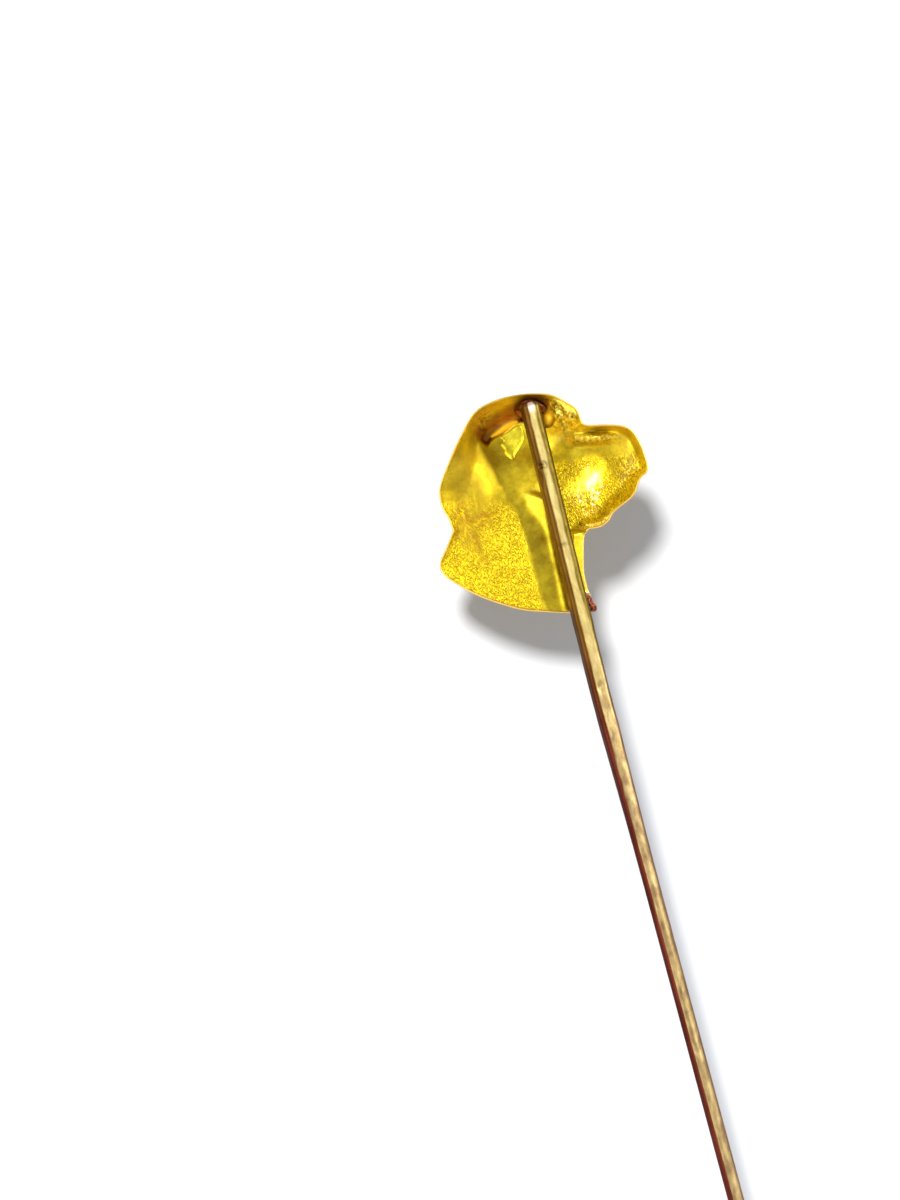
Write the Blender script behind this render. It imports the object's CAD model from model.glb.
"""Looks of the stick pin: the dog's head, its stem, the solder and the maker's plate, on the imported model.

Lengths are in millimetres, in the head's own frame: x runs forward to the muzzle, y up to the crown and z out
of the hollow back, with the rim in z = 0. Depths are distances towards -z, the face's side.
head_matrix() puts that frame where the CAD head is, in metres.
"""
import math

import bpy
import numpy as np
from mathutils import Matrix, Vector


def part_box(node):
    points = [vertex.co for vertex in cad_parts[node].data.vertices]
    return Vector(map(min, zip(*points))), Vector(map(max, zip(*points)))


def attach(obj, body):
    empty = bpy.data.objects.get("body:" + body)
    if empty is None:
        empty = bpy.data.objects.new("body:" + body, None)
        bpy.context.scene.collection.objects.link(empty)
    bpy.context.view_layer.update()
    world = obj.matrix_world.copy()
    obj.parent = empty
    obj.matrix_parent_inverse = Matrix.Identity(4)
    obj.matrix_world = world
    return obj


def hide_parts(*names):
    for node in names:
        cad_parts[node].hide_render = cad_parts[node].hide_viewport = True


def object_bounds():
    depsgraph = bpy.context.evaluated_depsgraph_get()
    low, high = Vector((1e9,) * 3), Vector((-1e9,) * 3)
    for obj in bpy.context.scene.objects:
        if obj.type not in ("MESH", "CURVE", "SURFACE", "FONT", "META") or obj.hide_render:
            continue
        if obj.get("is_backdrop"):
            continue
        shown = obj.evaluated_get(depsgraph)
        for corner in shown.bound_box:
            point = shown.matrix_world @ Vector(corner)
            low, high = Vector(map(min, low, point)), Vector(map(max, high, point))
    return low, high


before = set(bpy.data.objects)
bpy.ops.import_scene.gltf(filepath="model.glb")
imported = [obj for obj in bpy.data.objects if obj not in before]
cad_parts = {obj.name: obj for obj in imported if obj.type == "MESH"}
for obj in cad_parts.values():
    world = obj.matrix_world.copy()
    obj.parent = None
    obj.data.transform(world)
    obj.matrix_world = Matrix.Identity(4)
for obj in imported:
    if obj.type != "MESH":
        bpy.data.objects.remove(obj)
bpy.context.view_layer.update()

MM = 0.001

# Head
HEAD_ROLL = math.radians(15.0)  # the muzzle dips by this, with the stem upright
HEAD_TILT = math.radians(3.0)  # the crown leans back over the stem by this
RIM = 0.11  # width of the bright rim round the hollow
WALL = 0.32  # least thickness of the cast wall
SIDE_DEPTH = 0.75  # height of the side wall at the outline
FLANGE_HALF_WIDTH = 0.24  # of the flange along the chin
FLANGE_LEVEL = 0.10
FLANGE_PULL = 0.95  # how far the surface is brought to that level
AROUND = 540  # points round the outline
BACK_RINGS = 72
FRONT_RINGS = 80
RING_CROWDING = 0.75  # below 1, the rings lie closer together towards the outline
MESH_CENTRE = np.array([-0.5, -1.5])  # every point of the outline can be seen from here
SNUG = 0.998  # size of the visual head against the CAD head
RIM_STEPS = (0.0, 0.03, 0.06, 0.09, 0.11, 0.16, 0.26, 0.40)  # distances in from the outline

# Stem
BAR_SIDE = 1.13
BAR_CORNER = 0.28
BAR_TURN = math.radians(12.0)
BAR_LEAN = math.radians(1.2)
BEND_Z = 13.6  # height over the row's origin where the bar begins to blend into wire
WIRE_RADIUS = 0.50
ROUND_LENGTH = 25.0  # round wire below the row's origin
POINT_RADIUS = 0.04
STEM_RISE = 0.05  # how far the detailed stem stands over the CAD stem's top
STEM_DOME = 0.35  # height of its rounded top
STEM_AROUND = 64  # points round the stem
# Rows of points down the stem
DOME_ROWS, BAR_ROWS, BLEND_ROWS, ROUND_ROWS, POINT_ROWS = 8, 330, 100, 150, 60
WIDENS_FROM = 12.0  # the filed face widens between these distances down from the top
WIDENS_TO = 16.0
# Dents: distance down from the top, half length, direction round the bar and half width in degrees, depth
NICKS = [(4.05, 0.15, 66, 22, 0.28), (4.75, 0.55, 52, 16, 0.12), (9.2, 0.12, 75, 25, 0.05),
         (18.3, 0.25, 100, 16, 0.12)]

# Camera
LENS = 90
SENSOR = 36
VIEW_HEIGHT = 75.0 * MM  # how much of the pin the upright side of the view takes in
VIEW_CENTRE = (-5.0, -6.875)

# Lamps round the head: name, direction as right, up and near, distance, size and power
LAMPS = [
    ("key", (0.75, 0.45, 0.72), 0.30, 0.02, 0.82),
    ("fill", (-0.80, 0.25, 0.60), 0.30, 0.25, 0.66),
    ("low", (-0.55, -0.60, 0.70), 0.30, 0.15, 0.26),
    ("face", (0.5, 0.7, -0.9), 0.35, 0.30, 0.60),
]
ROOM_GREY = 0.52

# Floor
FLOOR_RADIUS = 60 * MM
FLOOR_GAP = 0.05 * MM
FLOOR_PAINT = (0.85, 0.85, 0.85)

# Backdrop
BACKDROP_RADIUS = 400 * MM
BACKDROP_PAINT = (0.54, 0.56, 0.61)
SHADOW_GAP = 4.0 * MM  # how far it stands behind the head
SHADOW_SHIFT = (0.215, -0.50)  # right and up, for each length that the shadow falls back
BACKDROP_TURN = math.radians(7.0)  # so that it can't be seen edge-on from the pin's side
SUN_POWER = 5.4
SUN_SPREAD = math.radians(11)
SUN_COLOUR = (1.0, 0.965, 0.89)

# Outline of the head: each stretch is a smooth curve, and the stretches meet at corners
OUTLINE = [
    [(-5.63, -0.75), (-5.66, 0.2), (-5.06, 1.88), (-4.38, 3.38), (-3.5, 4.88), (-2.25, 5.63),
     (-0.8, 6.0), (0.4, 6.09), (1.4, 6.0), (2.3, 5.56), (2.95, 5.1), (3.31, 4.25)],  # crown
    [(3.31, 4.25), (3.7, 4.12), (4.8, 4.15), (5.8, 4.08), (6.45, 3.75), (6.94, 3.0),
     (7.25, 2.2), (7.44, 1.45), (7.36, 1.1)],  # top of the muzzle and nose
    [(7.36, 1.1), (7.0, 0.78), (6.82, 0.4), (6.7, -0.05)],  # lips
    [(6.7, -0.05), (6.35, -0.5), (5.56, -1.13), (5.2, -1.5), (5.0, -1.87), (4.5, -2.27),
     (3.69, -2.44)],  # jaw
    [(3.69, -2.44), (3.46, -2.9), (3.42, -3.8), (3.45, -5.1), (3.66, -6.1), (3.92, -6.75),
     (4.19, -7.56)],  # throat
    [(4.19, -7.56), (2.5, -7.69), (0.9, -7.63), (-0.7, -7.46), (-2.94, -6.75), (-4.38, -6.02),
     (-5.2, -5.5), (-5.6, -5.0), (-5.6, -4.4), (-5.25, -3.62), (-4.83, -2.55)],  # neck's edge
    [(-4.83, -2.55), (-5.06, -1.88), (-5.4, -1.3), (-5.63, -0.75)],  # nape
]

# Depth of the hollow's floor under the rim at places chosen by hand: x, y, depth
FLOOR = [
    (-4.2, -5.3, 0.20), (-2.0, -6.3, 0.22), (0.6, -7.0, 0.22), (3.0, -7.1, 0.30),
    (-4.4, -4.0, 0.42), (-2.6, -4.3, 0.36), (0.0, -4.8, 0.40), (2.2, -5.0, 0.55),
    (-4.0, -2.4, 0.72), (-1.6, -2.4, 0.58), (0.8, -2.4, 0.80), (2.8, -2.5, 0.85),
    (-4.6, -0.5, 0.95), (-2.4, -0.5, 1.30), (-0.2, -0.3, 1.25), (2.0, -0.2, 0.76),
    (-4.4, 1.5, 0.85), (-2.4, 1.5, 1.75), (0.0, 1.6, 1.80), (2.0, 1.7, 1.75),
    (-3.4, 3.3, 2.30), (-1.5, 3.2, 2.55), (0.8, 3.2, 2.40), (2.3, 3.1, 1.80),
    (-1.9, 4.7, 2.00), (0.0, 5.1, 1.85), (1.9, 4.7, 0.65),
    (3.4, 3.1, 1.42), (3.4, 2.0, 1.55), (3.4, 0.8, 1.33), (3.4, -0.9, 1.02),
    (4.9, 2.1, 1.95), (4.9, 0.8, 1.82), (5.1, -0.6, 1.50),
    (6.0, 2.8, 1.65), (6.2, 1.9, 1.80), (6.1, 0.7, 1.65), (6.9, 1.6, 1.45),
]

# Lines and loops that the features follow
EAR_FOLD = [(-4.55, 0.6), (-4.4, -0.8), (-4.05, -1.7), (-3.5, -2.7), (-3.05, -4.0), (-2.4, -5.4)]
NAPE_CREASE = [(-4.9, -2.6), (-4.4, -3.0), (-3.9, -3.6)]
POCKET = [(-3.5, 3.6), (-3.1, 3.1), (-2.62, 2.78), (-2.25, 3.2), (-1.6, 3.6), (-0.9, 4.15), (-0.3, 4.3),
          (0.45, 4.1), (1.0, 3.9), (1.5, 4.1), (1.62, 4.55), (1.4, 5.05), (0.8, 5.4), (0.0, 5.6),
          (-0.75, 5.5), (-1.55, 5.2), (-2.2, 4.8), (-2.8, 4.4), (-3.3, 4.0)]
PLATE = [(-1.88, 3.36), (-1.25, 3.72), (-0.62, 4.08), (-0.34, 3.75), (-0.31, 3.13), (-0.58, 2.63),
         (-0.81, 2.31), (-1.06, 1.94), (-1.5, 2.25), (-1.58, 2.56), (-1.78, 2.88), (-1.64, 3.12)]
LIP = [(-2.45, 3.32), (-1.9, 3.66), (-1.4, 3.98), (-0.95, 4.26), (-0.65, 4.34)]
RIB = [(0.75, -0.1), (1.05, -1.6), (1.35, -3.1), (1.9, -5.6), (2.35, -7.6)]
EYE = (1.75, 2.85)
EAR = [(-1.25, 4.95), (-0.85, 4.1), (-1.10, 2.9), (-1.25, 1.6), (-1.5, 0.2), (-2.0, -1.1), (-2.8, -2.2),
       (-3.7, -2.8), (-4.6, -2.75), (-5.3, -2.0), (-5.9, -0.9), (-6.0, 0.3), (-5.4, 2.1), (-4.7, 3.6),
       (-3.9, 5.0), (-2.9, 5.55), (-1.9, 5.45)]
MOUTH = [(7.2, 1.0), (6.75, 0.50), (6.2, -0.05), (5.5, -0.55), (4.7, -0.95), (3.9, -1.18), (3.1, -1.15)]
CROWN_SOLDER = [(-0.95, 5.0), (-0.55, 4.5), (0.1, 4.3), (0.75, 4.5), (1.05, 4.95), (0.95, 5.35), (0.5, 5.62),
                (-0.1, 5.75), (-0.65, 5.5)]
NECK_SOLDER = [(3.30, -6.30), (3.62, -6.42), (3.86, -6.62), (3.98, -6.9), (4.16, -7.15), (4.24, -7.45),
               (4.10, -7.60), (3.7, -7.62), (3.3, -7.58), (3.05, -7.2), (3.0, -6.7)]
CHIN_FLANGE = [(5.3, -1.25), (4.9, -1.75), (4.4, -2.08), (3.5, -2.22)]


# ---- curves, noise and meshes

def smooth_curve(points, steps):
    """Catmull-Rom curve through the points, without its last point."""
    pts = np.array(points, float)
    pts = np.vstack([2 * pts[0] - pts[1], pts, 2 * pts[-1] - pts[-2]])
    t = np.linspace(0, 1, steps, endpoint=False)[:, None]
    out = []
    for a, b, c, d in zip(pts[:-3], pts[1:-2], pts[2:-1], pts[3:]):
        out.append(0.5 * (2 * b + (c - a) * t + (2 * a - 5 * b + 4 * c - d) * t ** 2
                          + (3 * b - a - 3 * c + d) * t ** 3))
    return np.vstack(out)


def outline_ring(count):
    """The outline as evenly spaced points, as near as its corners allow."""
    dense = np.vstack([smooth_curve(stretch, 24) for stretch in OUTLINE])
    closed = np.vstack([dense, dense[:1]])
    run = np.concatenate([[0], np.cumsum(np.linalg.norm(np.diff(closed, axis=0), axis=1))])
    want = np.linspace(0, run[-1], count, endpoint=False)
    return np.column_stack([np.interp(want, run, closed[:, k]) for k in (0, 1)])


def hashed(i, j, seed):
    """A repeatable number from -1 to 1 for each lattice point."""
    n = (i * 374761393 + j * 668265263 + seed * 974634777) & 0xFFFFFFFF
    n = ((n ^ (n >> 13)) * 1274126177) & 0xFFFFFFFF
    return ((n ^ (n >> 16)) & 0xFFFF) / 32767.5 - 1


def grain(x, y, size, seed=1):
    """Smooth value noise with lumps of the given size."""
    u = np.asarray(x, float) / size
    v = np.asarray(y, float) / size
    i = np.floor(u).astype(np.int64)
    j = np.floor(v).astype(np.int64)
    fu = u - i
    fv = v - j
    su = fu * fu * (3 - 2 * fu)
    sv = fv * fv * (3 - 2 * fv)
    low = hashed(i, j, seed) * (1 - su) + hashed(i + 1, j, seed) * su
    high = hashed(i, j + 1, seed) * (1 - su) + hashed(i + 1, j + 1, seed) * su
    return low * (1 - sv) + high * sv


def bump(x, y, cx, cy, rx, ry, turn=0.0, power=2.0):
    """1 at the centre, falling away past an ellipse turned by some degrees."""
    a = math.radians(turn)
    along = ((x - cx) * math.cos(a) + (y - cy) * math.sin(a)) / rx
    across = ((y - cy) * math.cos(a) - (x - cx) * math.sin(a)) / ry
    return np.exp(-((along ** 2 + across ** 2) ** (power / 2)))


def ramp(value, low, high):
    """0 below low, 1 above high, smooth between."""
    t = np.clip((value - low) / (high - low), 0, 1)
    return t * t * (3 - 2 * t)


def line_distance(x, y, points):
    """Distance to a smooth line through the points, how far along it that is (0 to 1), and the side."""
    line = smooth_curve(points, 8)
    line = np.vstack([line, points[-1]])
    best = np.full(np.shape(x), 1e9)
    share = np.zeros(np.shape(x))
    side = np.zeros(np.shape(x))
    for k, (p, q) in enumerate(zip(line[:-1], line[1:])):
        d = q - p
        t = np.clip(((x - p[0]) * d[0] + (y - p[1]) * d[1]) / (d @ d), 0, 1)
        ox = x - p[0] - t * d[0]
        oy = y - p[1] - t * d[1]
        dist = np.hypot(ox, oy)
        near = dist < best
        best = np.where(near, dist, best)
        share = np.where(near, (k + t) / (len(line) - 1), share)
        side = np.where(near, np.sign(d[0] * oy - d[1] * ox), side)
    return best, share, side


def outline_distance(x, y, ring):
    """Distance from each point to the outline."""
    best = np.full(np.shape(x), 1e9)
    for p, q in zip(ring, np.roll(ring, -1, axis=0)):
        d = q - p
        t = np.clip(((x - p[0]) * d[0] + (y - p[1]) * d[1]) / (d @ d), 0, 1)
        best = np.minimum(best, np.hypot(x - p[0] - t * d[0], y - p[1] - t * d[1]))
    return best


def make_mesh(name, points, faces, attributes=None):
    """A smooth-shaded mesh object, with one number per vertex in each named attribute."""
    mesh = bpy.data.meshes.new(name)
    mesh.from_pydata([tuple(p) for p in points], [], faces)
    mesh.polygons.foreach_set("use_smooth", [True] * len(mesh.polygons))
    for key, values in (attributes or {}).items():
        layer = mesh.attributes.new(key, "FLOAT", "POINT")
        layer.data.foreach_set("value", np.asarray(values, np.float32))
    mesh.update()
    mesh.validate()
    piece = bpy.data.objects.new(name, mesh)
    bpy.context.collection.objects.link(piece)
    return piece


def ring_faces(rings, around, flip=False):
    """Quads between neighbouring rings of points, each ring of the same count."""
    quads = []
    for r in range(rings - 1):
        for i in range(around):
            j = (i + 1) % around
            quad = (r * around + i, r * around + j, (r + 1) * around + j, (r + 1) * around + i)
            quads.append(quad[::-1] if flip else quad)
    return quads


# ---- where the CAD parts are

def head_axes():
    forward = Vector((-math.cos(HEAD_ROLL), 0, -math.sin(HEAD_ROLL)))
    up = Vector((-math.sin(HEAD_ROLL), 0, math.cos(HEAD_ROLL)))
    out = Vector((0, 1, 0)) * math.cos(HEAD_TILT) - up * math.sin(HEAD_TILT)
    return forward, out.cross(forward), out


def head_matrix(ring):
    """The head's frame in the row frame: its outline is laid on the box of the CAD head."""
    forward, up, out = head_axes()
    turn = Matrix((forward, up, out)).transposed()
    size = MM * SNUG
    spots = [turn @ Vector((x, y, 0)) * size for x, y in ring]
    low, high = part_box("head_shell")
    middle_x = (low[0] + high[0]) / 2 - (min(p.x for p in spots) + max(p.x for p in spots)) / 2
    middle_z = (low[2] + high[2]) / 2 - (min(p.z for p in spots) + max(p.z for p in spots)) / 2
    back = high[1] - max(p.y for p in spots)
    return Matrix.Translation((middle_x, back, middle_z)) @ (turn.to_4x4() @ Matrix.Scale(size, 4))


# ---- relief of the hollow back

def fitted_surface(spots):
    """A smooth surface through (x, y, height) spots, as a function of x and y."""
    spots = np.array(spots, float)

    def spread(x, y):
        gap = (x[..., None] - spots[:, 0]) ** 2 + (y[..., None] - spots[:, 1]) ** 2
        return gap * np.log(gap + 1e-9)

    count = len(spots)
    plane = np.column_stack([np.ones(count), spots[:, :2]])
    pull = np.zeros((count + 3, count + 3))
    pull[:count, :count] = spread(spots[:, 0], spots[:, 1]) + 0.3 * np.eye(count)
    pull[:count, count:] = plane
    pull[count:, :count] = plane.T
    weights = np.linalg.solve(pull, np.concatenate([spots[:, 2], np.zeros(3)]))

    def height(x, y):
        tilted = weights[count] + weights[count + 1] * x + weights[count + 2] * y
        return spread(x, y) @ weights[:count] + tilted

    return height


def hollow_form(x, y, edge):
    """Depth of the hollow's surface before its grain, its stain, and its share of throat land."""
    floor = fitted_surface(FLOOR)(x, y)
    wall = bump(x, y, -5.0, 2.0, 1.9, 3.6, 20, 4)
    reach = 0.85 + 1.15 * wall - 0.35 * ramp(-y, 4.0, 7.0) - 0.42 * bump(x, y, 5.3, 3.9, 2.6, 1.3, -12, 4)
    reach = reach - 0.45 * bump(x, y, 7.2, 1.6, 1.0, 2.2, 0, 4) + 0.60 * bump(x, y, 2.3, 4.9, 1.1, 1.0, 0, 4)
    reach = np.maximum(reach, 0.36)
    inward = np.clip((edge - RIM) / reach, 0, 1)
    depth = 0.08 + (floor - 0.08) * np.sin(inward * math.pi / 2) ** 0.9

    depth = depth - muzzle_ridge(x, y)
    folds, fold_stain = ear_folds(x, y)
    sunk, stain = crown_pocket(x, y)
    depth = depth + folds + sunk * np.clip((edge - RIM) / 0.5, 0, 1) ** 0.7 - stem_rib(x, y)
    depth = level_flange(x, y, depth)
    throat = throat_land(x, y)
    depth = depth * (1 - throat) + (0.05 + 0.34 * np.clip(x - 2.75, 0, 1)) * throat
    return depth, np.maximum(stain, fold_stain), throat


def hollow_depth(x, y, edge):
    """Depth of the hollow's surface under the rim, and how sandy, lumpy, stained, dull and polished it is."""
    depth, stain, throat = hollow_form(x, y, edge)
    depth = depth + muzzle_slit(x, y)
    sand, nuggets, ridge = sandy_skin(x, y, edge)
    inside = np.clip((edge - 0.25) / 0.3, 0, 1)
    amber = lit_lip(x, y)
    depth = depth - 0.12 * amber
    depth = depth + inside * (grain(x, y, 1.5, 5) * 0.05 + grain(x, y, 0.6, 6) * 0.018)
    depth = depth + inside * sand * (strokes(x, y, 0.16, 3) * 0.022 + grain(x, y, 0.2, 4) * 0.014)
    depth = depth + inside * nuggets * (grain(x, y, 0.30, 8) * 0.16 + grain(x, y, 0.15, 9) * 0.08)

    crest = np.clip(edge / RIM, 0, 1)
    rim_depth = 0.06 * np.abs(2 * crest - 0.9) ** 3 * (1 - throat) + depth * throat
    on_rim = edge <= RIM
    depth = np.where(on_rim, rim_depth, depth)
    polish = np.maximum(on_rim, chin_line(x, y)) * (1 - 0.85 * bump(x, y, -0.5, 6.0, 1.4, 0.40, 4, 4))
    dull = dull_skin(x, y)
    inner = 1 - on_rim
    marks = {"sand": inner * sand * (1 - 0.7 * dull), "nugget": inner * np.maximum(nuggets, 0.8 * ridge),
             "stain": stain, "amber": amber, "dull": dull, "polish": polish}
    return depth, marks


def muzzle_ridge(x, y):
    """Height of the ridge along the top of the muzzle."""
    along = ramp(x, 2.3, 2.9) * (1 - ramp(x, 3.2, 6.6))
    crest = 3.25 + 0.09 * np.clip(x - 4.0, 0, 3) ** 2
    return 0.50 * along * np.exp(-np.abs((y - crest) / 0.32) ** 2.2)


def muzzle_slit(x, y):
    """Depth of the thin slit between that ridge and the rim."""
    along = ramp(x, 3.3, 3.9) * (1 - ramp(x, 4.9, 5.8))
    return 0.42 * along * np.exp(-((y - 3.74 + 0.03 * (x - 4.5)) / 0.12) ** 2)


def lit_lip(x, y):
    """How much of a place is on the thin lip under the crown pocket, or on the lump at the pocket's end."""
    gap, share, _ = line_distance(x, y, LIP)
    width = 0.04 + 0.13 * np.sin(math.pi * share)
    lip = np.exp(-(gap / width) ** 2) * ramp(share * (1 - share), 0.0, 0.06)
    return np.maximum(lip, 0.8 * bump(x, y, 1.25, 4.55, 0.22, 0.38, 0, 3))


def chin_line(x, y):
    """The bright edge of the flange along the chin."""
    gap, share, _ = line_distance(x, y, CHIN_FLANGE)
    return 0.8 * np.exp(-(gap / 0.07) ** 2) * ramp(share * (1 - share), 0.0, 0.06)


def ear_folds(x, y):
    """Depth of the soft fold down the back of the ear, and the stain along it and in from the nape."""
    fold, share, _ = line_distance(x, y, EAR_FOLD)
    fade = ramp(1 - share, 0.0, 0.3) * ramp(share, 0.0, 0.3)
    ragged = 0.20 + 0.10 * grain(x, y, 0.35, 12)
    folds = 0.07 * np.exp(-(fold / ragged) ** 2) * fade
    nick, share, _ = line_distance(x, y, NAPE_CREASE)
    dark = 0.40 * np.exp(-(fold / (ragged * 1.2)) ** 2) * fade * ramp(grain(x, y, 0.22, 14), -0.7, 0.2)
    dark = np.maximum(dark, 0.45 * np.exp(-(nick / 0.2) ** 2) * (1 - share))
    specks = 0.60 * bump(x, y, -2.8, -1.8, 1.2, 0.65, 15, 3) * ramp(grain(x, y, 0.2, 16), 0.05, 0.45)
    dark = np.maximum(dark, specks)
    return folds, dark


def dull_skin(x, y):
    """How dull the tarnished skin is: behind the ear, at the nape, on the ear's fold and along the muzzle."""
    wall = bump(x, y, -4.0, 0.9, 1.4, 3.7, 18, 4)
    wall = np.maximum(wall, 0.9 * bump(x, y, -2.9, 1.7, 1.0, 1.9, 25, 3))
    nape = bump(x, y, -4.1, -1.9, 0.8, 2.1, 15, 4)
    fold, share, _ = line_distance(x, y, EAR_FOLD)
    fold = 0.9 * np.exp(-(fold / 0.32) ** 2) * ramp(1 - share, 0.0, 0.3) * ramp(share, 0.0, 0.3)
    band = 0.45 * bump(x, y, 4.4, 2.35, 2.4, 0.42, 7, 3)
    return np.maximum(np.maximum(wall, nape), np.maximum(fold, band)) * ramp(grain(x, y, 0.7, 15), -1.8, 0.2)


def inside_distance(x, y, loop):
    """How far inside a closed smooth line a point is: negative outside."""
    ring = smooth_curve(loop + loop[:1], 8)
    best = outline_distance(x, y, ring)
    crossings = np.zeros(np.shape(x), int)
    for p, q in zip(ring, np.roll(ring, -1, axis=0)):
        spans = (p[1] > y) != (q[1] > y)
        rise = q[1] - p[1] if q[1] != p[1] else 1e-9
        crossings = crossings + (spans & (x < p[0] + (y - p[1]) * (q[0] - p[0]) / rise))
    return np.where(crossings % 2 == 1, best, -best)


def crown_pocket(x, y):
    """Extra depth of the bean-shaped pocket under the crown, steep at its lower lip, and its stain."""
    inside = inside_distance(x, y, POCKET)
    spine = 4.72 - 0.19 * (x + 0.2) ** 2 * (x < -0.2)
    gentle = ramp(y, spine - 0.15, spine + 0.35)
    width = 0.22 + 0.75 * gentle
    sunk = 0.80 * ramp(inside, -0.03, width)
    stain = ramp(inside, 0.02 - 0.27 * gentle, 0.20 + 0.05 * gentle)
    stain = stain * (1 - 0.5 * bump(x, y, -2.9, 4.3, 0.5, 0.5))
    rim_stain = np.maximum(bump(x, y, 0.0, 5.7, 0.75, 0.40), 0.7 * bump(x, y, -0.9, 6.0, 1.3, 0.22, 4, 3))
    return sunk, np.clip(stain + rim_stain, 0, 1)


def stem_rib(x, y):
    """Height of the low rib that runs down the floor beside the bar, widest at its blunt upper end."""
    gap, share, _ = line_distance(x, y, RIB)
    width = 0.20 + 0.55 * (1 - ramp(share, 0.0, 0.45))
    blunt = ramp(-0.15 - y - 0.25 * (x - 0.9), 0.0, 0.45)
    return (0.08 + 0.30 * (1 - ramp(share, 0.0, 0.5))) * np.exp(-(gap / width) ** 2) * blunt


def throat_land(x, y):
    """How much of a place is on the flat land along the throat, which tips away from the bar."""
    return ramp(x, 2.45, 2.75) * ramp(y, -6.9, -6.4) * ramp(-y, 2.45, 2.75)


def level_flange(x, y, depth):
    """Brings the surface along the chin up to a level close to the rim."""
    gap = line_distance(x, y, CHIN_FLANGE)[0]
    return depth - (depth - FLANGE_LEVEL) * FLANGE_PULL * np.exp(-(gap / FLANGE_HALF_WIDTH) ** 4)


def sandy_skin(x, y, edge):
    """Where the cast skin is sandy, where it is in nuggets, and where the muzzle's bright ridge is."""
    neck = ramp(-0.9 - 0.20 * (x + 1.5) - y, -0.5, 0.9) * ramp(-0.8 - y + 0.5 * (x + 2.0), -2.2, -0.6)
    neck = neck * ramp(-1.1 - 0.26 * y - x, -0.2, 0.35)
    muzzle = ramp(1.9 - y + 0.12 * x, 0.0, 0.8) * ramp(x, 1.2, 2.0) * ramp(y, -2.6, -2.1)
    muzzle = muzzle * (1 - 0.90 * bump(x, y, 3.9, 0.8, 1.7, 0.75, 25, 3))
    wall = 0.40 * bump(x, y, -4.5, 1.6, 0.9, 2.8, 20, 4)
    nuggets = bump(x, y, 2.1, 4.85, 1.5, 1.15, -30, 4)
    nuggets = np.maximum(nuggets, 0.8 * bump(x, y, -2.9, 4.5, 0.8, 0.5, 50, 3)) * ramp(edge, 0.12, 0.25)
    ridge = bump(x, y, 4.1, 3.25, 1.7, 0.32, 4, 4)
    return np.clip(neck + muzzle + wall + 0.5 * ridge, 0, 1), nuggets, ridge


def strokes(x, y, size, seed):
    """Short raised strokes that run steeply down towards the throat."""
    along = x * 0.20 - y * 0.98
    across = x * 0.98 + y * 0.20
    wander = grain(x, y, 0.8, seed + 20) * 0.15
    return grain(across + wander, along / 2.2, size, seed)


# ---- relief of the face

def front_depth(x, y, edge):
    """Height of the dog's face over the rim plane, away from the hollow, with its fur, shade and polish."""
    height = face_mass(x, y, edge)
    height = height + brow_and_cheek(x, y) * np.clip(edge / 0.8, 0, 1)
    lips = lip_line(x, y)
    nose, nose_mark = nose_pad(x, y)
    eye, eye_mark, eye_shade = eye_relief(x, y)
    ear, ear_height = ear_flap(x, y, edge)
    height = height + nose * nose_mark + eye - lips * (1 - ear) - whisker_pits(x, y)
    height = height * (1 - ear) + np.maximum(height + 0.12, ear_height) * ear
    locks, fur = chased_fur(x, y, ear, nose_mark, eye_mark)
    height = height + locks * np.clip((edge - 0.10) / 0.5, 0, 1)
    thick = hollow_form(x, y, edge)[0] + WALL * np.clip(edge / 0.3, 0, 1)
    height = 0.10 * np.logaddexp(height / 0.10, thick / 0.10)
    height = np.where(edge < 0.01, SIDE_DEPTH, np.maximum(height, SIDE_DEPTH))
    shade = np.maximum(np.clip(lips * 1.5, 0, 1) * 0.6, eye_shade)
    return height, {"stain": shade, "fur": fur, "face": np.ones_like(x)}


def face_mass(x, y, edge):
    """The skull, muzzle and neck run together, rounding over to the side wall."""
    skull = 2.85 * bump(x, y, -0.6, 2.9, 3.9, 3.2, 0, 4)
    muzzle = 2.20 * bump(x, y, 4.6, 1.75, 3.3, 2.6, -6, 4)
    neck = 2.35 * bump(x, y, -0.7, -4.8, 4.6, 4.4, 0, 4)
    mass = 0.30 * np.log(1 + sum(np.exp(part / 0.30) - 1 for part in (skull, muzzle, neck)))
    inward = np.clip(edge / 2.1, 0, 1)
    return SIDE_DEPTH + mass * np.sqrt(1 - (1 - inward) ** 2.2)


def brow_and_cheek(x, y):
    """The brow over the eye, the stop in front of it, the cheek and the hanging upper lip."""
    brow = 0.36 * bump(x, y, 1.60, 3.95, 1.15, 0.50, -18)
    stop = -0.32 * bump(x, y, 3.0, 3.15, 0.70, 0.90, 20)
    socket = -0.40 * bump(x, y, 1.75, 2.85, 0.95, 0.62, -10)
    cheek = 0.45 * bump(x, y, 0.9, 0.3, 1.6, 1.6)
    bridge = 0.26 * bump(x, y, 4.9, 3.05, 1.9, 0.55, -4)
    under_bridge = -0.14 * bump(x, y, 4.6, 1.95, 1.6, 0.40, -4)
    lip_pad = 0.42 * bump(x, y, 5.6, 0.9, 1.3, 0.85, 10)
    flews = 0.45 * bump(x, y, 4.1, -0.25, 1.5, 0.90, 8)
    throat = -0.45 * bump(x, y, 3.1, -2.4, 1.2, 0.9, 20)
    return brow + stop + socket + cheek + bridge + under_bridge + lip_pad + flews + throat


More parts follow.
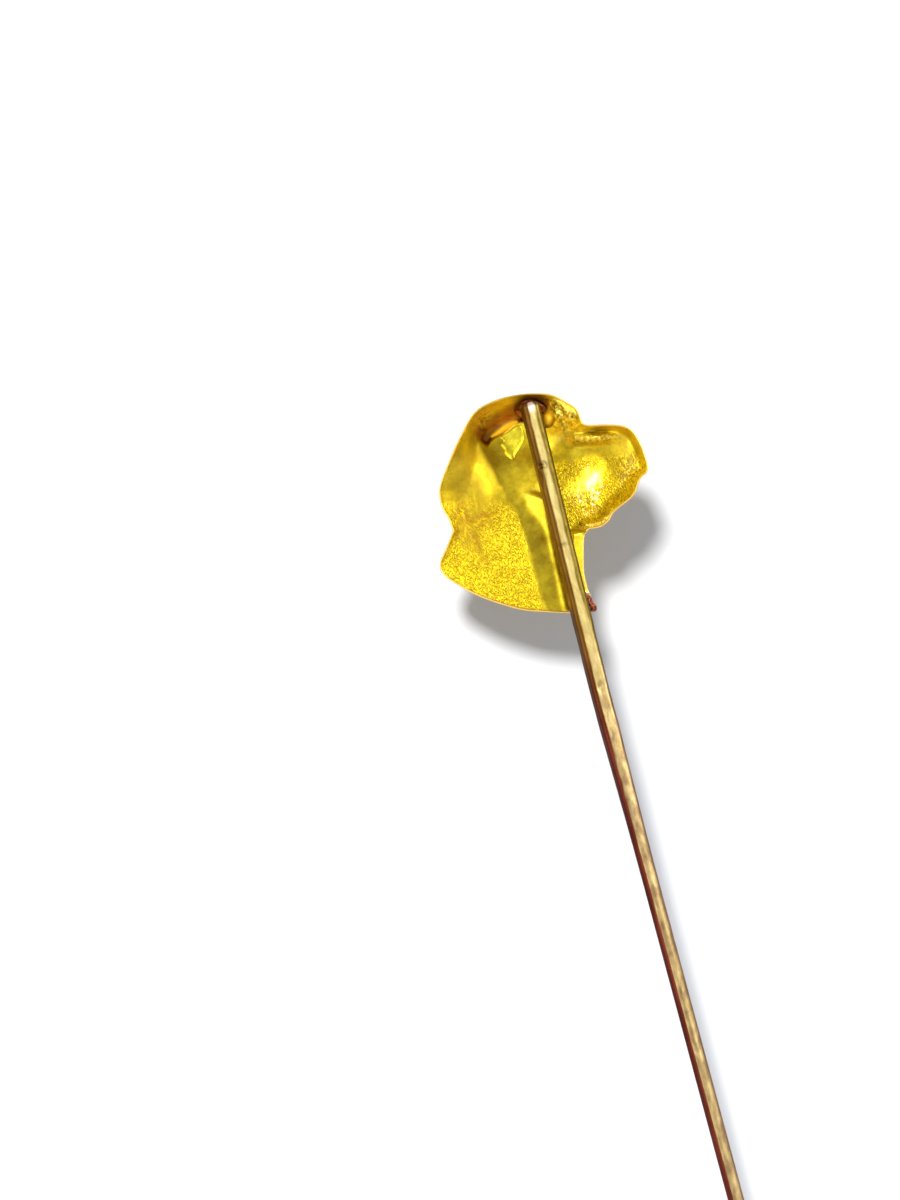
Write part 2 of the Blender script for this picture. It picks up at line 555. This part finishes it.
def lip_line(x, y):
    """Depth of the mouth: a cut that follows the hanging lip from the nose back to its corner."""
    gap, share, side = line_distance(x, y, MOUTH)
    cut = 0.30 * np.exp(-(gap / 0.11) ** 2) * ramp(1 - share, 0.0, 0.15)
    shelf = 0.22 * np.exp(-(gap / 0.50) ** 2) * (side > 0) * ramp(1 - share, 0.0, 0.25)
    return cut + shelf


def whisker_pits(x, y):
    """Depth of the rows of small pits that the whiskers grow from."""
    pits = np.zeros(np.shape(x))
    for row in range(3):
        for k in range(4):
            cx = 4.75 + 0.42 * k + 0.14 * row
            cy = 1.55 - 0.42 * row - 0.05 * k
            pits = pits + 0.06 * bump(x, y, cx, cy, 0.10, 0.10)
    return pits


def nose_pad(x, y):
    """The leathery pad at the end of the muzzle, with a comma-shaped nostril."""
    pad = ramp(bump(x, y, 6.95, 2.35, 0.80, 1.00, -18, 4), 0.25, 0.60)
    nostril = bump(x, y, 6.85, 2.15, 0.30, 0.15, 35, 3) + 0.7 * bump(x, y, 6.55, 1.95, 0.28, 0.08, -35, 3)
    leather = 0.015 * grain(x, y, 0.16, 71)
    return 0.20 + leather - 0.42 * np.clip(nostril, 0, 1), pad


def eye_relief(x, y):
    """Height of an almond-shaped eye with a drilled pupil and soft lids, where it is open, and its shade."""
    turn = math.radians(-12)
    along = (x - EYE[0]) * math.cos(turn) + (y - EYE[1]) * math.sin(turn)
    across = (y - EYE[1]) * math.cos(turn) - (x - EYE[0]) * math.sin(turn)
    long = 0.66
    half = (0.40 + 0.06 * np.sign(across)) * np.clip(1 - (along / long) ** 2, 0, 1) ** 0.8
    opening = np.where(np.abs(along) < long, half - np.abs(across), -np.hypot(np.abs(along) - long, across))
    ball = 0.30 * np.sqrt(np.clip(1 - (along / 0.66) ** 2 - (across / 0.60) ** 2, 0, 1))
    heavy = 0.13 + 0.08 * ramp(across, -0.1, 0.3)
    lids = heavy * np.exp(-((opening + 0.13) / 0.15) ** 2)
    pupil = bump(along, across, 0.03, 0.02, 0.19, 0.19, 0, 5)
    inside = ramp(opening, -0.05, 0.07)
    crease = 0.10 * np.exp(-((opening + 0.42) / 0.13) ** 2) * ramp(across, 0.0, 0.3)
    rim_shade = 0.75 * np.exp(-((opening - 0.02) / 0.07) ** 2)
    shade = np.maximum(np.maximum(0.9 * pupil, rim_shade), 0.25 * inside)
    return inside * (ball - 0.26 - 0.16 * pupil) + (1 - inside) * lids - crease, inside, shade


def ear_flap(x, y, edge):
    """How much of a place is on the drop ear, and the height of the ear's surface there."""
    inside = inside_distance(x, y, EAR)
    cover = ramp(inside, -0.08, 0.12)
    swell = 0.50 + 0.50 * (1 - np.clip(1 - inside / 0.9, 0, 1) ** 2.4)
    fold = 0.26 * np.exp(-((x + 3.5 - 0.20 * (y - 2.5)) / 0.50) ** 2) * ramp(y, -1.5, 2.5)
    dish = -0.20 * bump(x, y, -2.6, 0.6, 0.60, 2.4, 10)
    base = face_mass(x, y, edge)
    lift = 0.60 * ramp(5.2 - y, 0.0, 1.6) * swell * ramp(edge, 0.0, 1.0)
    return cover, base + lift + (fold + dish) * ramp(inside, 0.2, 0.8)


def chased_fur(x, y, ear, nose, eye):
    """Height of the wavy locks on the ear, neck and skull, and how furry each place is."""
    wave = 0.30 * np.sin(y * 1.5 + x * 0.6) + 0.10 * grain(x, y, 1.4, 81)
    across = x + wave + 0.12 * y
    locks = grain(across, y / 5.0, 0.42, 82) + 0.4 * grain(across, y / 5.0, 0.24, 84)
    neck = ramp(-1.3 - y + 0.25 * x, -0.5, 1.2) * (1 - ear)
    face = (1 - neck) * ramp(3.0 - x, 0.0, 1.8)
    share = np.clip(1 - nose - eye, 0, 1)
    fur = np.clip(neck + 0.8 * ear + 0.45 * face, 0, 1) * share
    return (0.080 * neck + 0.060 * ear + 0.018 * face) * locks * share, fur


# ---- the head's mesh

def head_rings(ring, rings):
    """Points inside the outline, ring by ring: at set distances from it, then shrinking to the middle."""
    ahead = np.roll(ring, -1, axis=0) - np.roll(ring, 1, axis=0)
    tangent = ahead / np.linalg.norm(ahead, axis=1)[:, None]
    spoke = ring - MESH_CENTRE
    reach = np.abs(spoke[:, 0] * tangent[:, 1] - spoke[:, 1] * tangent[:, 0])
    soft = np.ones(9) / 9
    reach = np.convolve(np.concatenate([reach[-4:], reach, reach[:4]]), soft, mode="valid")
    shares = [1 - step / reach for step in RIM_STEPS]
    last = shares[-1]
    for k in range(1, rings):
        shares.append(last * (1 - k / rings) ** RING_CROWDING)
    return [MESH_CENTRE + spoke * share[:, None] for share in shares]


def head_shell(ring, place):
    back = np.vstack(head_rings(ring, BACK_RINGS) + [MESH_CENTRE])
    front = np.vstack(head_rings(ring, FRONT_RINGS) + [MESH_CENTRE])
    back_edge = outline_distance(back[:, 0], back[:, 1], ring)
    front_edge = outline_distance(front[:, 0], front[:, 1], ring)
    back_deep, back_marks = hollow_depth(back[:, 0], back[:, 1], back_edge)
    front_deep, front_marks = front_depth(front[:, 0], front[:, 1], front_edge)
    points = np.vstack([np.column_stack([back, -back_deep]), np.column_stack([front, -front_deep])])
    start = len(back)
    back_rows = (len(back) - 1) // AROUND
    front_rows = (len(front) - 1) // AROUND
    faces = ring_faces(back_rows, AROUND)
    faces += [tuple(start + k for k in quad) for quad in ring_faces(front_rows, AROUND, flip=True)]
    for i in range(AROUND):
        j = (i + 1) % AROUND
        faces.append(((back_rows - 1) * AROUND + i, (back_rows - 1) * AROUND + j, start - 1))
        faces.append((start + (front_rows - 1) * AROUND + j, start + (front_rows - 1) * AROUND + i,
                      len(points) - 1))
        faces.append((j, i, start + i, start + j))
    marks = {}
    for key in {**back_marks, **front_marks}:
        pair = back_marks.get(key, 0 * back_edge), front_marks.get(key, 0 * front_edge)
        marks[key] = np.concatenate(pair)
    world = [place @ Vector(p) for p in points]
    head = make_mesh("head_cast", world, faces, marks)
    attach(head, "root")
    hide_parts("head_shell")
    return head


# ---- the stem

def square_radius(angle, side, corner):
    """Distance from the centre to the edge of a rounded square, in each direction."""
    flat = side / 2
    inner = flat - corner
    a = np.abs((angle + math.pi / 4) % (math.pi / 2) - math.pi / 4)
    straight = flat / np.cos(a)
    on_corner = straight * np.sin(a) > inner
    middle = inner * math.sqrt(2)
    off = math.pi / 4 - a
    round_part = middle * np.cos(off) + np.sqrt(np.maximum(corner ** 2 - (middle * np.sin(off)) ** 2, 0))
    return np.where(on_corner, round_part, straight)


def pin_stem():
    """One piece: a filed square bar that turns round below the head and ends in a long point."""
    low, high = (Vector(corner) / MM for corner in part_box("pin_stem"))
    top, tip = high.z + STEM_RISE, low.z
    levels = np.concatenate([
        top - STEM_DOME * (1 - np.cos(np.linspace(0.15, math.pi / 2, DOME_ROWS))),
        np.linspace(top - STEM_DOME - 0.05, BEND_Z, BAR_ROWS),
        np.linspace(BEND_Z - 0.1, 0, BLEND_ROWS),
        np.linspace(-0.1, -ROUND_LENGTH, ROUND_ROWS),
        np.linspace(-ROUND_LENGTH - 0.1, tip, POINT_ROWS),
    ])
    angle = np.linspace(0, 2 * math.pi, STEM_AROUND, endpoint=False)
    rows = []
    marks = {"flat": [], "lee": [], "end": [], "worn": []}
    for z in levels:
        wire = ramp(BEND_Z - z, 0.0, BEND_Z)
        wobble = grain(z, 0.5, 2.6, 31) * math.radians(1.0)
        corner = BAR_CORNER + 0.025 * grain(z, 3.5, 1.1, 33)
        square = square_radius(angle - BAR_TURN - wobble, BAR_SIDE + 0.02 * grain(z, 7.5, 0.9, 35), corner)
        square = square - filed_nicks(angle, top - z)
        radius = square * (1 - wire) + WIRE_RADIUS * wire
        if z > top - STEM_DOME:
            radius = radius * (0.35 + 0.65 * math.sqrt(1 - ((z - top + STEM_DOME) / STEM_DOME) ** 2))
        if z < -ROUND_LENGTH:
            taper = (z + ROUND_LENGTH) / (tip + ROUND_LENGTH)
            radius = radius * (1 - taper ** 1.25) + POINT_RADIUS * taper
        lean = -max(z - BEND_Z, 0) * math.tan(BAR_LEAN)
        level = np.full(STEM_AROUND, z)
        rows.append(np.column_stack([lean + radius * np.cos(angle), radius * np.sin(angle), level]))
        facing = np.abs(np.cos(angle - math.pi / 2 - BAR_TURN)) + 0.02 * grain(z, angle * 2, 0.7, 37)
        below = ramp(top - z, WIDENS_FROM, WIDENS_TO)
        filed = (0.07 - 0.14 * below) * ramp(-np.cos(angle), 0.0, 0.15) - 0.05 * wire
        marks["flat"].append(ramp(facing, 0.87 + filed, 0.93 + filed))
        marks["lee"].append(ramp(np.cos(angle), -0.3, 0.3))
        marks["worn"].append(np.full(STEM_AROUND, ramp(BEND_Z + 6 - z, 0.0, 10.0)))
        marks["end"].append(np.full(STEM_AROUND, ramp(z, top - 0.85, top - 0.35)))
    points = np.vstack(rows) * MM
    faces = ring_faces(len(levels), STEM_AROUND, flip=True)
    faces.append(tuple(range(STEM_AROUND)))
    faces.append(tuple(reversed(range((len(levels) - 1) * STEM_AROUND, len(levels) * STEM_AROUND))))
    marks = {key: np.concatenate(parts) for key, parts in marks.items()}
    stem = make_mesh("stem_filed", points, faces, marks)
    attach(stem, "root")
    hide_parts("pin_stem")
    return stem


def filed_nicks(angle, down):
    """Depth of the dents in the bar, at a distance down from its top."""
    nicks = 0.0 * angle
    for place, long, turn, wide, deep in NICKS:
        away = np.abs((angle - math.radians(turn) + math.pi) % (2 * math.pi) - math.pi)
        nicks = nicks + deep * np.exp(-((down - place) / long) ** 2 - (away / math.radians(wide)) ** 2)
    return nicks


# ---- solder and plate

def patch(name, loop, place, back_of, sink, rings=14, steps=10):
    """A closed low lump inside a loop: back_of gives its surface from x, y and the share inwards."""
    ring = smooth_curve(loop + loop[:1], steps)
    middle = ring.mean(axis=0)
    count = len(ring)
    shares = np.linspace(0, 1, rings)
    flat = np.vstack([ring * (1 - t) + middle * t for t in shares[:-1]] + [middle[None, :]])
    inward = np.concatenate([np.full(count, t) for t in shares[:-1]] + [[1.0]])
    top = back_of(flat[:, 0], flat[:, 1], inward)
    under = top[:count] - sink
    points = np.vstack([np.column_stack([ring, under]), np.column_stack([flat, top]),
                        [[middle[0], middle[1], under.mean()]]])
    faces = ring_faces(rings, count)
    last = rings * count
    for i in range(count):
        j = (i + 1) % count
        faces.append((last - count + i, last - count + j, last))
        faces.append((j, i, len(points) - 1))
    piece = make_mesh(name, [place @ Vector(p) for p in points], faces)
    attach(piece, "root")
    return piece


def floor_at(x, y, ring):
    edge = outline_distance(x, y, ring)
    return -hollow_depth(x, y, edge)[0]


def maker_plate(ring, place):
    """A small torn plate of gold on the floor, with a blank face."""
    def surface(x, y, inward):
        level = floor_at(x, y, ring)
        return level + 0.11 * ramp(inward, -0.15, 0.30) + 0.03 * grain(x, y, 0.5, 41)

    piece = patch("plate_tongue", PLATE, place, surface, 0.10)
    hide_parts("maker_plate")
    return piece


def crown_solder(ring, place):
    """Solder drawn up round the top of the bar, in the pocket."""
    def surface(x, y, inward):
        level = floor_at(x, y, ring)
        rise = np.sqrt(np.clip(1 - (1 - inward) ** 2, 0, 1))
        lumps = 0.20 * grain(x, y, 0.45, 51) + 0.08 * grain(x, y, 0.2, 52)
        return level + (1.7 + lumps - 0.25 * np.clip(x, -1, 1)) * rise * 0.9

    piece = patch("crown_fillet", CROWN_SOLDER, place, surface, 0.10, 22)
    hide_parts("crown_solder")
    return piece


def neck_solder(place):
    """A ragged smear of solder between the bar and the corner of the throat."""
    def surface(x, y, inward):
        rise = np.sqrt(np.clip(1 - (1 - inward) ** 2, 0, 1))
        return -0.06 + (0.40 + 0.12 * grain(x, y, 0.25, 61) + 0.06 * grain(x, y, 0.12, 62)) * rise

    piece = patch("neck_fillet", NECK_SOLDER, place, surface, 0.30, 14)
    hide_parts("neck_solder")
    return piece


# ---- materials

class Nodes:
    """A metal's node tree, with short calls to add and join its nodes."""

    def __init__(self, name):
        self.material = bpy.data.materials.new(name)
        self.material.use_nodes = True
        self.tree = self.material.node_tree
        self.shader = self.tree.nodes["Principled BSDF"]
        self.shader.inputs["Metallic"].default_value = 1.0

    def add(self, kind, **settings):
        node = self.tree.nodes.new(kind)
        for key, value in settings.items():
            if key in node.inputs:
                node.inputs[key].default_value = value
            else:
                setattr(node, key, value)
        return node

    def link(self, output, socket):
        self.tree.links.new(output, socket)

    def mark(self, name):
        return self.add("ShaderNodeAttribute", attribute_name=name).outputs["Fac"]

    def scaled(self, where, size_mm, stretch):
        """Coordinates in lumps of the given size, with a stretch for each axis."""
        mapping = self.add("ShaderNodeMapping")
        mapping.inputs["Scale"].default_value = [s / (size_mm * MM) for s in stretch]
        self.link(where, mapping.inputs["Vector"])
        return mapping.outputs["Vector"]

    def texture(self, where, **settings):
        node = self.add("ShaderNodeTexNoise", **settings)
        self.link(where, node.inputs["Vector"])
        return node

    def noise(self, size_mm, detail=2.0, roughness=0.5, stretch=(1, 1, 1)):
        where = self.add("ShaderNodeTexCoord").outputs["Object"]
        lumps = self.scaled(where, size_mm, stretch)
        return self.texture(lumps, Scale=1.0, Detail=detail, Roughness=roughness).outputs["Fac"]

    def hairs(self, size_mm):
        """Height of fine wavy hairs that run down the head."""
        where = self.add("ShaderNodeTexCoord").outputs["Object"]
        slow = self.texture(where, Scale=1.0 / (2.2 * MM), Detail=1.0)
        bent = self.add("ShaderNodeVectorMath", operation="MULTIPLY_ADD")
        self.link(slow.outputs["Color"], bent.inputs[0])
        bent.inputs[1].default_value = (1.6 * MM, 0, 0)
        self.link(where, bent.inputs[2])
        long = self.scaled(bent.outputs["Vector"], size_mm, (1.0, 0.5, 0.12))
        return self.texture(long, Scale=1.0, Detail=2.0, Roughness=0.6).outputs["Fac"]

    def worms(self, size_mm):
        """Height of short raised strokes, upright on the head: 0 in the gaps between them."""
        where = self.add("ShaderNodeTexCoord").outputs["Object"]
        upright = self.add("ShaderNodeMapping")
        upright.inputs["Rotation"].default_value = (0, -HEAD_ROLL, 0)
        self.link(where, upright.inputs["Vector"])
        long = self.scaled(upright.outputs["Vector"], size_mm, (1.0, 0.5, 0.48))
        waves = self.texture(long, Scale=1.0, Detail=1.5, Roughness=0.45, Distortion=0.6).outputs["Fac"]
        from_middle = self.maths("SUBTRACT", waves, 0.5)
        return self.maths("MULTIPLY", self.maths("ABSOLUTE", from_middle, 0.0), 4.0)

    def spread(self, value, low, high, to_low=0.0, to_high=1.0):
        node = self.add("ShaderNodeMapRange")
        for key, number in zip(("From Min", "From Max", "To Min", "To Max"), (low, high, to_low, to_high)):
            node.inputs[key].default_value = number
        self.link(value, node.inputs["Value"])
        return node.outputs["Result"]

    def maths(self, operation, a, b):
        node = self.add("ShaderNodeMath", operation=operation)
        for socket, value in zip(node.inputs, (a, b)):
            if isinstance(value, (int, float)):
                socket.default_value = value
            else:
                self.link(value, socket)
        return node.outputs["Value"]

    def blend(self, share, first, second):
        """Colour between two, each a colour or another node's output."""
        node = self.add("ShaderNodeMix", data_type="RGBA")
        for socket, value in ((node.inputs[0], share), (node.inputs[6], first), (node.inputs[7], second)):
            if isinstance(value, tuple):
                socket.default_value = (*value, 1.0)
            elif isinstance(value, float):
                socket.default_value = value
            else:
                self.link(value, socket)
        return node.outputs[2]

    def dents(self, height, depth_mm, normal=None):
        node = self.add("ShaderNodeBump", Distance=depth_mm * MM, Strength=1.0)
        self.link(height, node.inputs["Height"])
        if normal is not None:
            self.link(normal, node.inputs["Normal"])
        return node.outputs["Normal"]

    def finished(self, colour, roughness, normal):
        for output, name in ((colour, "Base Color"), (roughness, "Roughness"), (normal, "Normal")):
            self.link(output, self.shader.inputs[name])
        return self.material


def head_gold():
    """High-carat gold: clean, sandy, lumpy, dull or stained in the hollow, and furry on the face."""
    n = Nodes("head_gold")
    n.link(n.spread(n.mark("dull"), 0.0, 0.6, 0.30, 0.0), n.shader.inputs["Coat Weight"])
    n.shader.inputs["Coat Roughness"].default_value = 0.24
    cloud = n.spread(n.noise(0.9, 5, 0.72), 0.38, 0.62)
    sand = n.mark("sand")
    smooth_body = n.blend(cloud, (0.56, 0.385, 0.008), (0.86, 0.655, 0.020))
    sand_body = n.blend(cloud, (0.78, 0.56, 0.008), (0.95, 0.74, 0.016))
    body = n.blend(sand, smooth_body, sand_body)
    body = n.blend(n.maths("MULTIPLY", n.mark("dull"), 0.85), body, (0.42, 0.29, 0.020))
    lumps = n.blend(n.spread(n.noise(0.22, 2, 0.6), 0.44, 0.54), (0.60, 0.36, 0.010), (1.0, 0.82, 0.12))
    body = n.blend(n.mark("nugget"), body, lumps)
    worms = n.worms(0.15)
    gaps = n.maths("MULTIPLY", n.spread(worms, 0.0, 0.30, 1.0, 0.0), sand)
    pitted = n.blend(n.maths("MULTIPLY", gaps, 0.95), body, (0.32, 0.19, 0.004))
    tarnish = n.spread(n.noise(0.6, 3), 0.3, 0.7, 0.70, 1.0)
    outer = n.blend(cloud, (0.80, 0.52, 0.045), (0.92, 0.63, 0.070))
    hairs = n.hairs(0.15)
    roots = n.maths("MULTIPLY", n.spread(hairs, 0.38, 0.50, 0.75, 0.0), n.mark("fur"))
    outer = n.blend(roots, outer, (0.46, 0.25, 0.03))
    whole = n.blend(n.mark("face"), pitted, outer)
    stained = n.blend(n.maths("MULTIPLY", n.mark("stain"), tarnish), whole, (0.35, 0.125, 0.016))
    stained = n.blend(n.mark("amber"), stained, (1.0, 0.62, 0.04))
    colour = n.blend(n.mark("polish"), stained, (0.96, 0.63, 0.13))
    # The lip and the lump glow a little, for light bounced off the gold round them
    glow = n.blend(n.mark("amber"), (0.0, 0.0, 0.0), (1.0, 0.58, 0.02))
    n.link(glow, n.shader.inputs["Emission Color"])
    n.shader.inputs["Emission Strength"].default_value = 0.85
    rough = n.maths("ADD", n.spread(sand, 0, 1, 0.44, 0.53), n.spread(n.noise(0.5, 3), 0.3, 0.7, -0.04, 0.04))
    tarnished = n.maths("MAXIMUM", n.mark("stain"), n.mark("dull"))
    dulled = n.maths("ADD", rough, n.maths("MULTIPLY", tarnished, 0.16))
    glossed = n.maths("SUBTRACT", dulled, n.maths("MULTIPLY", n.mark("nugget"), 0.10))
    relief = n.maths("MULTIPLY", n.spread(worms, 0.0, 0.5), sand)
    fine = n.dents(n.noise(0.12, 2), 0.005)
    sandy = n.dents(relief, 0.038, fine)
    return n.finished(colour, glossed, n.dents(n.maths("MULTIPLY", hairs, n.mark("fur")), 0.060, sandy))


def stem_gold():
    """Low-carat gold: a pale filed face, brown on the lee side and redder where the stem is worn."""
    n = Nodes("stem_gold")
    streak = n.spread(n.noise(0.30, 4, 0.65, (1, 1, 0.22)), 0.35, 0.65)
    face = n.blend(streak, (0.41, 0.315, 0.105), (0.53, 0.42, 0.160))
    face = n.blend(n.mark("worn"), face, n.blend(streak, (0.42, 0.30, 0.12), (0.67, 0.51, 0.23)))
    browned = n.spread(n.noise(0.55, 3, 0.6, (1, 1, 0.4)), 0.42, 0.60, 0.05, 0.65)
    browned = n.maths("MULTIPLY", browned, n.mark("worn"))
    face = n.blend(browned, face, (0.20, 0.105, 0.055))
    toned = n.spread(n.noise(1.4, 3, 0.5, (1, 1, 0.5)), 0.35, 0.65)
    shaded = n.blend(toned, (0.115, 0.050, 0.006), (0.19, 0.090, 0.014))
    shaded = n.blend(n.mark("worn"), shaded, n.blend(toned, (0.10, 0.016, 0.010), (0.17, 0.032, 0.018)))
    open_side = n.blend(streak, (0.12, 0.082, 0.011), (0.18, 0.12, 0.019))
    open_side = n.blend(n.mark("worn"), open_side, n.blend(streak, (0.24, 0.13, 0.07), (0.38, 0.22, 0.12)))
    side = n.blend(n.mark("lee"), open_side, shaded)
    face = n.blend(n.mark("end"), face, (0.86, 0.66, 0.52))
    rough = n.spread(n.noise(0.4, 3), 0.3, 0.7, 0.44, 0.58)
    dents = n.dents(n.noise(0.3, 3, 0.5, (1, 1, 0.4)), 0.018)
    return n.finished(n.blend(n.mark("flat"), side, face), rough, dents)


def plate_gold():
    n = Nodes("plate_gold")
    cloud = n.spread(n.noise(0.5, 4, 0.6), 0.35, 0.65)
    colour = n.blend(cloud, (0.74, 0.60, 0.020), (0.94, 0.82, 0.055))
    rough = n.spread(n.noise(0.3, 3), 0.3, 0.7, 0.40, 0.55)
    return n.finished(colour, rough, n.dents(n.noise(0.25, 3), 0.03))


def solder():
    n = Nodes("solder")
    cloud = n.spread(n.noise(0.35, 3), 0.35, 0.65)
    colour = n.blend(cloud, (0.11, 0.020, 0.008), (0.36, 0.11, 0.05))
    rough = n.spread(n.noise(0.2, 2), 0.3, 0.7, 0.35, 0.55)
    return n.finished(colour, rough, n.dents(n.noise(0.15, 2), 0.03))


def dress(piece, material):
    piece.data.materials.append(material)


# ---- camera, light and floor

def camera(place):
    """Behind the pin, square to the stem and rolled so that the head is level."""
    forward = head_axes()[0]
    lens = bpy.data.cameras.new("camera")
    lens.sensor_width = SENSOR
    lens.lens = LENS
    away = LENS * VIEW_HEIGHT / SENSOR
    middle = place @ Vector((*VIEW_CENTRE, 0))
    level_up = Vector((-math.sin(HEAD_ROLL), 0, math.cos(HEAD_ROLL)))
    eye = bpy.data.objects.new("camera", lens)
    turn = Matrix((forward, level_up, Vector((0, 1, 0)))).transposed()
    eye.matrix_world = Matrix.Translation((middle.x, away, middle.z)) @ turn.to_4x4()
    bpy.context.collection.objects.link(eye)
    bpy.context.scene.camera = eye


def lamp(name, towards, away, size, power):
    """An area lamp that faces the head from a direction given as right, up and near in the camera's view."""
    forward, up, out = head_axes()
    light = bpy.data.lights.new(name, "AREA")
    light.size = size
    light.energy = power
    where = (forward * towards[0] + up * towards[1] + out * towards[2]).normalized() * away
    low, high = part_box("head_shell")
    middle = (Vector(low) + Vector(high)) / 2
    lit = bpy.data.objects.new(name, light)
    lit.location = middle + where
    lit.rotation_euler = where.to_track_quat("Z", "Y").to_euler()
    bpy.context.collection.objects.link(lit)
    return lit


def studio():
    """A grey room that the camera sees as white, and the lamps."""
    world = bpy.data.worlds.new("studio")
    world.use_nodes = True
    tree = world.node_tree
    background = tree.nodes["Background"]
    background.inputs["Color"].default_value = (ROOM_GREY, ROOM_GREY, ROOM_GREY, 1)
    seen = tree.nodes.new("ShaderNodeBackground")
    seen.inputs["Color"].default_value = (1, 1, 1, 1)
    path = tree.nodes.new("ShaderNodeLightPath")
    mix = tree.nodes.new("ShaderNodeMixShader")
    tree.links.new(path.outputs["Is Camera Ray"], mix.inputs[0])
    tree.links.new(background.outputs[0], mix.inputs[1])
    tree.links.new(seen.outputs[0], mix.inputs[2])
    tree.links.new(mix.outputs[0], tree.nodes["World Output"].inputs["Surface"])
    bpy.context.scene.world = world
    bpy.context.scene.view_settings.view_transform = "Standard"
    return [lamp(*row) for row in LAMPS]


def stage_material(name, colour, one_sided):
    """Pale paint; a one-sided sheet can't be seen from behind."""
    material = bpy.data.materials.new(name)
    material.use_nodes = True
    tree = material.node_tree
    paint = tree.nodes["Principled BSDF"]
    paint.inputs["Base Color"].default_value = (*colour, 1)
    paint.inputs["Roughness"].default_value = 0.9
    if one_sided:
        behind = tree.nodes.new("ShaderNodeNewGeometry").outputs["Backfacing"]
        clear = tree.nodes.new("ShaderNodeBsdfTransparent")
        mix = tree.nodes.new("ShaderNodeMixShader")
        tree.links.new(behind, mix.inputs[0])
        tree.links.new(paint.outputs[0], mix.inputs[1])
        tree.links.new(clear.outputs[0], mix.inputs[2])
        tree.links.new(mix.outputs[0], tree.nodes["Material Output"].inputs["Surface"])
    return material


def disc(name, radius, material):
    """A flat round sheet that faces +Z, staged."""
    count = 96
    turns = [2 * math.pi * k / count for k in range(count)]
    points = [(radius * math.cos(t), radius * math.sin(t), 0) for t in turns]
    sheet = make_mesh(name, points, [tuple(range(count))])
    dress(sheet, material)
    sheet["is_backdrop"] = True
    return sheet


def only_for(light, receiver, included):
    """Lights the receiver alone, or everything but the receiver."""
    group = bpy.data.collections.new(light.name + "_receivers")
    group.objects.link(receiver)
    group.collection_objects[0].light_linking.link_state = "INCLUDE" if included else "EXCLUDE"
    light.light_linking.receiver_collection = group


def floor_and_backdrop(lamps):
    """A pale floor under the point, and a pale backdrop that takes the pin's shadow from its own lamp."""
    low = Vector(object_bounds()[0])
    floor = disc("floor", FLOOR_RADIUS, stage_material("floor_white", FLOOR_PAINT, False))
    floor.location = (0, 0, low.z - FLOOR_GAP)
    backdrop = disc("backdrop", BACKDROP_RADIUS, stage_material("backdrop_white", BACKDROP_PAINT, True))
    backdrop.location = (0, low.y - SHADOW_GAP, 0)
    backdrop.rotation_euler = (-math.pi / 2, 0, BACKDROP_TURN)
    for ray in ("visible_diffuse", "visible_glossy", "visible_transmission", "visible_shadow"):
        setattr(backdrop, ray, False)
    sun = bpy.data.lights.new("backdrop_sun", "SUN")
    sun.energy = SUN_POWER
    sun.color = SUN_COLOUR
    sun.angle = SUN_SPREAD
    lit = bpy.data.objects.new("backdrop_sun", sun)
    forward, up, out = head_axes()
    towards = out - forward * SHADOW_SHIFT[0] - up * SHADOW_SHIFT[1]
    lit.rotation_euler = towards.to_track_quat("Z", "Y").to_euler()
    bpy.context.collection.objects.link(lit)
    only_for(lit, backdrop, True)
    for light in lamps:
        only_for(light, backdrop, False)


def main():
    ring = outline_ring(AROUND)
    place = head_matrix(ring)
    camera(place)
    floor_and_backdrop(studio())
    dress(head_shell(ring, place), head_gold())
    dress(pin_stem(), stem_gold())
    dress(maker_plate(ring, place), plate_gold())
    brown = solder()
    dress(crown_solder(ring, place), brown)
    dress(neck_solder(place), brown)


main()
